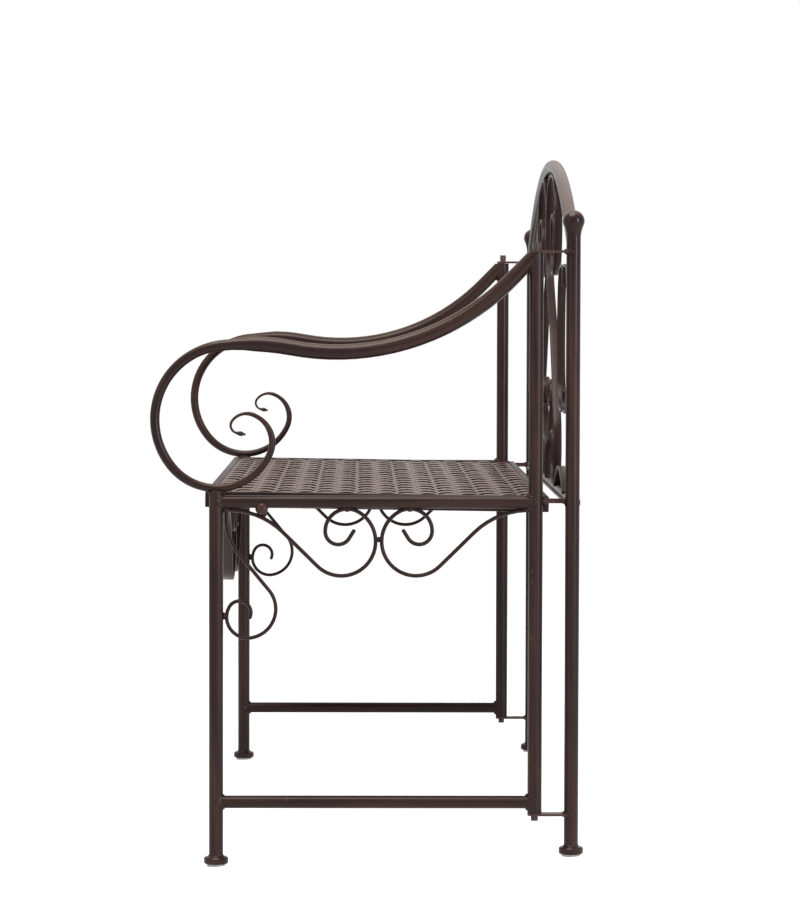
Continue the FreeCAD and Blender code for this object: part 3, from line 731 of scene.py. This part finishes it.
# Seat front scrolls: wide flat bars bent into a facing pair, welded on edge
# under the front rim.
FRONT_BAR_W = 18.0
FRONT_BAR_T = 3.5
FRONT_BAR_Y = -447.0
FRONT_START = (462.0, SEAT_LOW - FRONT_BAR_T / 2)
FRONT_MOVES = (
    (120.0, 0.0), (250.0, 38.0), (85.0, 0.0), (74.0, -128.0), (46.6, -120.0), (26.0, -150.0), (16.0, 0.0),
)
for side, hand in (("right", 1.0), ("left", -1.0)):
    bm = new_drawing()
    outline = flat_outline(bm, FRONT_START, 180.0, FRONT_BAR_T, FRONT_BAR_W, BAR_EDGE)
    bend(bm, outline, FRONT_START, 180.0, FRONT_MOVES, BAR_STEP)
    place = drawing(FRONT_BAR_Y, seat_place) @ Matrix.Diagonal((hand, 1.0, 1.0, 1.0))
    shaped(bm, place, "seat_front_scroll_" + side, "seat", "frame_paint", bar_paint, "seat_apron_" + side)


# Pivot tabs, lugs, rests and bolts: small steel plates welded to the tubes, and
# turned bolts, pins and studs through them. All are brown like the tubes, the
# turned pieces a little glossier.
# The plates' brown is paler than the tubes': a painted highlight for their bright edges.
PLATE_HIGHLIGHT_BROWN = (0.058, 0.034, 0.029)
BOLT_GREY = (0.075, 0.052, 0.046)
STUD_BROWN = (0.050, 0.025, 0.020)
plate_paint = painted("plate_paint", along=(40.0, 40.0, 40.0), rub=0.4, dull=0.30, ground=PLATE_HIGHLIGHT_BROWN)
bolt_paint = painted("bolt_paint", along=(90.0, 90.0, 20.0), rub=0.7, dull=0.24, ground=BOLT_GREY)
stud_paint = painted("stud_paint", along=(90.0, 20.0, 90.0), rub=0.6, dull=0.16, ground=STUD_BROWN)
for side in ("right", "left"):
    coat(plate_paint, "pivot_tabs_" + side, "seat_lug_" + side, "seat_rest_" + side)
    coat(bolt_paint, "pivot_bolts_" + side, "seat_pin_" + side)
    coat(stud_paint, "rest_stud_" + side)


# Welds: beads laid by hand where tubes, bars and rods meet, left as they ran
# and painted over. Each one is a rippled roll of steel that follows its joint.
WELD_PEEL = 0.0004
WELD_SHARP = 80.0
RIPPLE_SIZE = 0.45
BEAD_RIPPLE = 0.35
BEAD_SIDES = 8
BEAD_STEP = 9.0
LUMP_RIPPLE = 0.45
X_AXIS = Vector((1, 0, 0))
Y_AXIS = Vector((0, 1, 0))
Z_AXIS = Vector((0, 0, 1))
weld_paint = painted("weld_paint", along=(90.0, 90.0, 90.0), rub=0.55, dull=0.30, peel=WELD_PEEL)


def rippled(bm, before, amount):
    bm.verts.ensure_lookup_table()
    for vert in bm.verts[before:]:
        vert.co += noise.noise_vector(vert.co * RIPPLE_SIZE) * amount


def bead_round(bm, spot, along, outward, radius, bead, onto, first=0.0, turn=360.0, stretch=1.0):
    """A bead round the end of a tube that stands on another tube: spot is on the
    crest of that tube, along is its axis, and onto is its radius, or 0 on a plate."""
    before = len(bm.verts)
    full = turn == 360.0
    start = Matrix.Rotation(math.radians(first), 4, "Z") @ Matrix.Translation((radius, 0, 0))
    ring = bmesh.ops.create_circle(bm, cap_ends=not full, segments=BEAD_SIDES, radius=bead,
                                   matrix=start @ Matrix.Rotation(math.radians(90.0), 4, "X"))
    made = bmesh.ops.spin(bm, geom=edges_of(ring["verts"]), cent=(0, 0, 0), axis=(0, 0, 1),
                          angle=math.radians(turn), steps=round(turn / BEAD_STEP), use_merge=full)
    if not full:
        bmesh.ops.contextual_create(bm, geom=edges_in(made["geom_last"]))
    bm.verts.ensure_lookup_table()
    for vert in bm.verts[before:]:
        if onto:
            vert.co.z -= onto - math.sqrt(max(onto ** 2 - vert.co.x ** 2, 0.0))
        vert.co.y *= stretch
    place = Matrix((along.cross(outward), along, outward)).transposed().to_4x4()
    place.translation = spot
    bmesh.ops.transform(bm, matrix=place, verts=bm.verts[before:])
    rippled(bm, before, bead * BEAD_RIPPLE)


def lump(bm, spot, size):
    """A short weld at one spot, where a rod or a bar only touches."""
    before = len(bm.verts)
    bmesh.ops.create_icosphere(bm, subdivisions=3, radius=1.0,
                               matrix=Matrix.Translation(spot) @ Matrix.Diagonal((*size, 1.0)))
    rippled(bm, before, min(size) * LUMP_RIPPLE)


BEAD = 2.0
UPRIGHT_BEAD = 1.5 * BEAD
UPRIGHT_Y = -46.0
TUBE_R = 9.0
RAIL_R = 8.0
RAIL_Z = 445.2
STRETCHER_Z = 67.7
ARM_WELD_R = 9.2
ARM_WELD_Z = 746.5
APRON_TOUCH = -203.1
SIDE_LUMPS = (
    ((HALF_WIDTH - 6.6, LEG_Y - 0.5, 457.6), (2.4, 8.0, 2.0)),
    ((HALF_WIDTH + 6.6, LEG_Y - 0.5, 457.6), (2.4, 8.0, 2.0)),
    ((HALF_WIDTH, LEG_Y - 8.6, 457.0), (6.5, 2.0, 2.2)),
    ((HALF_WIDTH, LEG_Y + 8.2, 457.0), (6.5, 2.0, 2.2)),
    ((HALF_WIDTH, -57.5, 436.2), (3.6, 4.6, 3.2)),
    ((HALF_WIDTH, LEG_Y + 12.0, 435.0), (3.4, 4.2, 4.6)),
    ((HALF_WIDTH, APRON_TOUCH, 436.4), (3.6, 5.2, 3.4)),
    ((HALF_WIDTH, 2.0 * APRON_MID - APRON_TOUCH, 436.4), (3.6, 5.2, 3.4)),
    ((HALF_WIDTH, APRON_MID, 398.0), (3.0, 2.6, 3.6)),
    ((HALF_WIDTH, LEG_Y + 10.4, 302.0), (2.6, 2.8, 4.2)),
)
for side, hand in (("right", 1.0), ("left", -1.0)):
    bm = bmesh.new()
    for level in (RAIL_Z, STRETCHER_Z):
        bead_round(bm, (HALF_WIDTH, LEG_Y + TUBE_R, level), Z_AXIS, Y_AXIS, RAIL_R, BEAD, TUBE_R)
        bead_round(bm, (HALF_WIDTH, UPRIGHT_Y - TUBE_R, level), Z_AXIS, -Y_AXIS, RAIL_R, UPRIGHT_BEAD, TUBE_R)
    bead_round(bm, (HALF_WIDTH, UPRIGHT_Y - TUBE_R, ARM_WELD_Z), Z_AXIS, -Y_AXIS, ARM_WELD_R, BEAD, TUBE_R,
               first=130.0, turn=280.0, stretch=1.42)
    for spot, size in SIDE_LUMPS:
        lump(bm, spot, size)
    place = bench @ Matrix.Diagonal((hand, 1.0, 1.0, 1.0))
    shaped(bm, place, "side_welds_" + side, side + "_side", "frame_paint", weld_paint, sharp=WELD_SHARP)

BACK_RAIL_Z = 445.0
ARCH_WELD_R = 7.4
ARCH_WELD_Z = ARCH_END_Z + 4.4
ARCH_BEAD = 0.6 * BEAD
TAB_FACES = (51.0, 54.0, 757.4, 760.4)
TAB_WELD_R = TUBE_R + 0.6
BACK_LUMPS = (
    ((97.3, BAR_Y, 871.4), (9.0, 4.0, 2.4)),
    ((0.0, BAR_Y - BAR_W / 2, 779.0), (1.8, 1.3, 8.0)),
    ((0.0, BAR_Y + BAR_W / 2, 779.0), (1.8, 1.3, 8.0)),
    ((170.3, BAR_Y, 452.8), (6.0, 5.6, 2.0)),
    ((0.0, BAR_Y, 453.4), (5.6, 5.6, 2.6)),
    ((214.0, BAR_Y, 453.0), (5.0, 5.6, 2.4)),
    ((411.5, BAR_Y, 453.0), (5.0, 5.6, 2.4)),
    ((511.6, BAR_Y, 649.3), (2.2, 5.0, 8.0)),
    ((400.0, BAR_Y, 720.0), (2.6, 4.8, 5.0)),
    ((400.0, BAR_Y, 579.0), (2.6, 4.8, 5.0)),
    ((514.5, -8.6, 446.4), (5.0, 3.8, 4.4)),
)
post_face = HALF_WIDTH - TUBE_R
bm = bmesh.new()
bead_round(bm, (post_face, 0.0, BACK_RAIL_Z), Z_AXIS, -X_AXIS, RAIL_R, BEAD, TUBE_R)
bead_round(bm, (post_face, 0.0, ARCH_WELD_Z), Z_AXIS, -X_AXIS, ARCH_WELD_R, ARCH_BEAD, TUBE_R, stretch=1.11)
for level in TAB_FACES:
    bead_round(bm, (HALF_WIDTH, 0.0, level), Y_AXIS, Z_AXIS, TAB_WELD_R, BEAD, 0.0, first=195.0, turn=150.0)
for spot, size in BACK_LUMPS:
    lump(bm, spot, size)
mirrored_pair(bm)
shaped(bm, bench, "back_welds", "back_frame", "frame_paint", weld_paint, sharp=WELD_SHARP)

SEAT_LUMPS = (
    ((SEAT_HALF - RIM_W / 2, rim_in_front, SEAT_TOP - 0.5), (4.6, 1.5, 0.9)),
    ((SEAT_HALF - RIM_W / 2, rim_in_rear, SEAT_TOP - 0.5), (4.6, 1.5, 0.9)),
    ((448.0, FRONT_BAR_Y, SEAT_LOW - 0.6), (7.0, 4.0, 1.8)),
    ((368.0, FRONT_BAR_Y, SEAT_LOW - 0.6), (7.0, 4.0, 1.8)),
    ((0.0, FRONT_BAR_Y, 387.8), (1.8, 8.0, 4.0)),
)
bm = bmesh.new()
for spot, size in SEAT_LUMPS:
    lump(bm, spot, size)
mirrored_pair(bm)
shaped(bm, seat_place, "seat_welds", "seat", "frame_paint", weld_paint, sharp=WELD_SHARP)


# Room: a pale floor that runs out to a white background, one soft lamp above
# the bench and one on each side of the camera, which stands at the bench's
# right-hand end.
def camera_share(tree):
    """One for what the camera sees directly, in a gloss or through glass."""
    ray = tree.nodes.new("ShaderNodeLightPath")
    direct = tree.nodes.new("ShaderNodeMath")
    direct.operation = "MAXIMUM"
    link(tree, ray, "Is Camera Ray", direct, 0)
    link(tree, ray, "Is Glossy Ray", direct, 1)
    seen = tree.nodes.new("ShaderNodeMath")
    seen.operation = "MAXIMUM"
    link(tree, direct, "Value", seen, 0)
    link(tree, ray, "Is Transmission Ray", seen, 1)
    return seen


WHITE = (1.0, 1.0, 1.0)
FLOOR_GREY = (0.8, 0.8, 0.8)
FLOOR_LIFT = 0.80
FLOOR_HALF = 9.0
floor_paint = bpy.data.materials.new("pale_floor")
floor_paint.use_nodes = True
tree = floor_paint.node_tree
shader = tree.nodes["Principled BSDF"]
shader.inputs["Base Color"].default_value = (*FLOOR_GREY, 1.0)
shader.inputs["Roughness"].default_value = 0.9
shader.inputs["Specular IOR Level"].default_value = 0.0
shader.inputs["Emission Color"].default_value = (*WHITE, 1.0)
lift = tree.nodes.new("ShaderNodeMath")
lift.operation = "MULTIPLY"
lift.inputs[1].default_value = FLOOR_LIFT
link(tree, camera_share(tree), "Value", lift, 0)
link(tree, lift, "Value", shader, "Emission Strength")
bm = bmesh.new()
bmesh.ops.create_grid(bm, x_segments=1, y_segments=1, size=FLOOR_HALF)
floor_mesh = bpy.data.meshes.new("floor")
bm.to_mesh(floor_mesh)
bm.free()
floor_mesh.materials.append(floor_paint)
floor = bpy.data.objects.new("floor", floor_mesh)
bpy.context.scene.collection.objects.link(floor)

ROOM_LIGHT = 0.28
ROOM_TONE = (1.0, 0.92, 0.89)
world = bpy.data.worlds.new("white_room")
bpy.context.scene.world = world
world.use_nodes = True
tree = world.node_tree
level = tree.nodes.new("ShaderNodeMapRange")
level.inputs["To Min"].default_value = ROOM_LIGHT
level.inputs["To Max"].default_value = 1.0
seen = camera_share(tree)
link(tree, seen, "Value", level, "Value")
link(tree, level, "Result", tree.nodes["Background"], "Strength")
tone = tree.nodes.new("ShaderNodeMix")
tone.data_type = "RGBA"
tone.inputs[COLOUR_A].default_value = (*ROOM_TONE, 1.0)
tone.inputs[COLOUR_B].default_value = (*WHITE, 1.0)
link(tree, seen, "Value", tone, "Factor")
link(tree, tone, COLOUR_OUT, tree.nodes["Background"], "Color")


def softbox(name, spot, aim, size, power, colour):
    lamp = bpy.data.lights.new(name, "AREA")
    lamp.shape = "RECTANGLE"
    lamp.size, lamp.size_y = size
    lamp.energy = power
    lamp.color = colour
    light = bpy.data.objects.new(name, lamp)
    bpy.context.scene.collection.objects.link(light)
    light.location = spot
    light.rotation_euler = (Vector(aim) - Vector(spot)).to_track_quat("-Z", "Y").to_euler()


softbox("overhead", spot=(0.9, -0.2, 2.9), aim=(0.1, 0.0, 0.4), size=(1.6, 1.8), power=88.0,
        colour=(1.0, 0.92, 0.87))
softbox("right_strip", spot=(3.0, 2.7, 1.2), aim=(0.3, 0.1, 0.5), size=(0.8, 2.0), power=95.0,
        colour=(0.84, 0.84, 1.0))
softbox("left_strip", spot=(2.6, -3.2, 1.5), aim=(0.2, -0.2, 0.5), size=(0.5, 2.2), power=16.0,
        colour=(1.0, 0.95, 0.90))

CAMERA_SPOT = (4.88234, -0.01021, 0.69411)
CAMERA_TURN = (87.5913, 1.4968, 89.363)
CAMERA_LENS = 157.04
SENSOR_W = 36.0
SIGHT_END = 60.0
lens = bpy.data.cameras.new("camera")
lens.sensor_fit = "HORIZONTAL"
lens.sensor_width = SENSOR_W
lens.lens = CAMERA_LENS
lens.clip_end = SIGHT_END
camera = bpy.data.objects.new("camera", lens)
bpy.context.scene.collection.objects.link(camera)
camera.location = CAMERA_SPOT
camera.rotation_euler = tuple(math.radians(angle) for angle in CAMERA_TURN)
bpy.context.scene.camera = camera
bpy.context.scene.view_settings.view_transform = "Standard"
